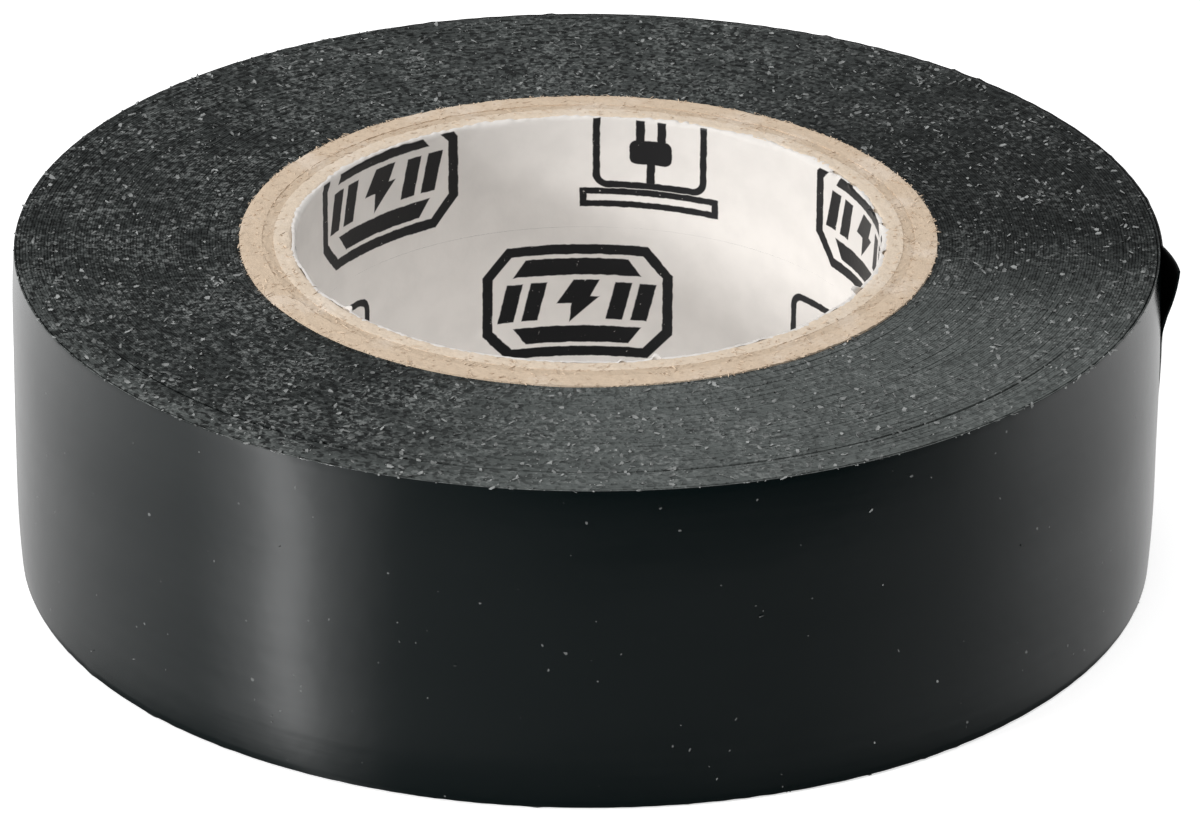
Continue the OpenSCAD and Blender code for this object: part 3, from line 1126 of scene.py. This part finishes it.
class TAPEROLL_OT_outer_turn(bpy.types.Operator):
    """Make the smooth outermost turn, whose outer face is the roll's wall"""

    bl_idname = "taperoll.outer_turn"
    bl_label = "Outermost turn"

    def execute(self, context):
        sizes = context.scene.tape_roll_sizes
        film = shared(context.scene.tape_roll_colours)["Satin PVC film"]
        piece = section_piece("outermost_turn", outer_turn_sections(sizes), False, film, 35)
        settle(piece, "roll", "pvc_film", "outer_wrap")
        return {"FINISHED"}


class TAPEROLL_OT_tail(bpy.types.Operator):
    """Make the peeling tail in lengths, each running from one hinged strip to the next"""

    bl_idname = "taperoll.tail"
    bl_label = "Tail"

    def execute(self, context):
        sizes = context.scene.tape_roll_sizes
        for layer, depths, finish, slot in tape_layers(sizes, context.scene.tape_roll_colours):
            for number, (start, end) in enumerate(self.stretches(), 1):
                steps = max(2, round((start - end) / ALONG_STEP))
                angles = np.linspace(start, end, steps + 1)
                sections = strip_section(sizes, angles, ROLL_R, depths)
                piece = section_piece(f"tail_{layer}_bend_{number}", sections, False, finish, 35)
                bodies = ("roll" if number == 1 else f"tail_{number - 1}", f"tail_{number}")
                bend(piece, bodies, compass(start), compass(end), slot, f"tail_{layer}_{number}")
        return {"FINISHED"}

    @staticmethod
    def stretches():
        """Local angles that each length runs from and to: the hinge, then mid strip to mid strip."""
        count = len(BENDS)
        middles = [TAIL_ANGLE - STRIP_ANGLE * (number + 0.5) for number in range(count)]
        middles[-1] = CORNER_SPAN
        return list(zip([TAIL_ANGLE] + middles[:-1], middles))


class TAPEROLL_OT_corner(bpy.types.Operator):
    """Make the cut end of the tail with its lifted corner"""

    bl_idname = "taperoll.corner"
    bl_label = "Lifted corner"

    def execute(self, context):
        sizes = context.scene.tape_roll_sizes
        start = FOLD_POINT - FOLD_ACROSS * CREASE_FROM
        end = FOLD_POINT + FOLD_ACROSS * CREASE_TO
        bodies = (f"tail_{len(BENDS)}", "corner")
        angles = np.linspace(CORNER_SPAN, 0, 61)
        for layer, depths, finish, slot in tape_layers(sizes, context.scene.tape_roll_colours):
            sections = curl_corner(strip_section(sizes, angles, ROLL_R, depths, cut=True))
            piece = section_piece(f"free_end_{layer}", sections, False, finish, 35)
            bend(piece, bodies, start, end, slot, f"corner_{layer}")
        return {"FINISHED"}


class TAPEROLL_OT_lint(bpy.types.Operator):
    """Strew lint over the end faces and a little dust on the wall"""

    bl_idname = "taperoll.lint"
    bl_label = "Lint and dust"

    def execute(self, context):
        sizes = context.scene.tape_roll_sizes
        finish = shared(context.scene.tape_roll_colours)["Lint"]
        strewn = scatter_recipe()
        ends = [("upper", TAPE_Z[1] - 0.01 * MM, TAPE_Z[1] + 0.04 * MM),
                ("lower", TAPE_Z[0] - 0.03 * MM, TAPE_Z[0] + 0.01 * MM)]
        for number, (end, low, high) in enumerate(ends):
            piece = strewn.make("lint_" + end, finish, {
                "Count": sizes.lint_count, "Inner radius": CORE_R + 0.1 * MM,
                "Outer radius": ROLL_R - 0.15 * MM, "Low": low, "High": high,
                "Start angle": 0.0, "Sweep": FULL_TURN, "Shortest": 0.04 * MM,
                "Longest": 0.34 * MM, "Thickness": 0.046 * MM, "Stray": 1.5, "Lift": 0.5,
                "Seed": 140 + 20 * number})
            settle(piece, "roll", "wound_edge")
        rim = strewn.make("rim_burrs", finish, {
            "Count": 150, "Inner radius": ROLL_R - 0.10 * MM, "Outer radius": ROLL_R + 0.01 * MM,
            "Low": TAPE_Z[1] - 0.02 * MM, "High": TAPE_Z[1] + 0.02 * MM, "Start angle": ROOT_ANGLE,
            "Sweep": FULL_TURN - TAIL_ANGLE, "Shortest": 0.05 * MM, "Longest": 0.35 * MM,
            "Thickness": 0.035 * MM, "Stray": 1.0, "Lift": 0.5, "Seed": 260})
        settle(rim, "roll", "wound_edge")
        wall = strewn.make("wall_dust", finish, {
            "Count": 45, "Inner radius": ROLL_R + 0.08 * MM, "Outer radius": ROLL_R + sizes.crown,
            "Low": TAPE_Z[0] + 0.5 * MM, "High": TAPE_Z[1] - 0.5 * MM,
            "Start angle": ROOT_ANGLE, "Sweep": math.radians(205), "Shortest": 0.04 * MM,
            "Longest": 0.25 * MM, "Thickness": 0.03 * MM, "Stray": 1.5, "Lift": 1.2, "Seed": 200})
        settle(wall, "roll", "pvc_film")
        return {"FINISHED"}


OPERATORS = [
    TAPEROLL_OT_stage, TAPEROLL_OT_liner, TAPEROLL_OT_board, TAPEROLL_OT_winding,
    TAPEROLL_OT_outer_turn, TAPEROLL_OT_tail, TAPEROLL_OT_corner, TAPEROLL_OT_lint]


class TAPEROLL_PT_panel(bpy.types.Panel):
    """Sizes, colours and makers of the tape roll"""

    bl_idname = "TAPEROLL_PT_panel"
    bl_label = "Tape Roll"
    bl_space_type = "VIEW_3D"
    bl_region_type = "UI"
    bl_category = "Tape Roll"

    def draw(self, context):
        for group in (context.scene.tape_roll_sizes, context.scene.tape_roll_colours):
            box = self.layout.box()
            for name in group.__annotations__:
                box.prop(group, name)
        column = self.layout.column()
        for operator in OPERATORS:
            column.operator(operator.bl_idname)


CLASSES = [TapeRollSizes, TapeRollColours, *OPERATORS, TAPEROLL_PT_panel]


def register():
    for cls in CLASSES:
        bpy.utils.register_class(cls)
    bpy.types.Scene.tape_roll_sizes = bpy.props.PointerProperty(type=TapeRollSizes)
    bpy.types.Scene.tape_roll_colours = bpy.props.PointerProperty(type=TapeRollColours)


def unregister():
    del bpy.types.Scene.tape_roll_colours
    del bpy.types.Scene.tape_roll_sizes
    for cls in reversed(CLASSES):
        bpy.utils.unregister_class(cls)


def main():
    register()
    for operator in OPERATORS:
        group, name = operator.bl_idname.split(".")
        getattr(getattr(bpy.ops, group), name)()


if __name__ == "__main__":
    main()
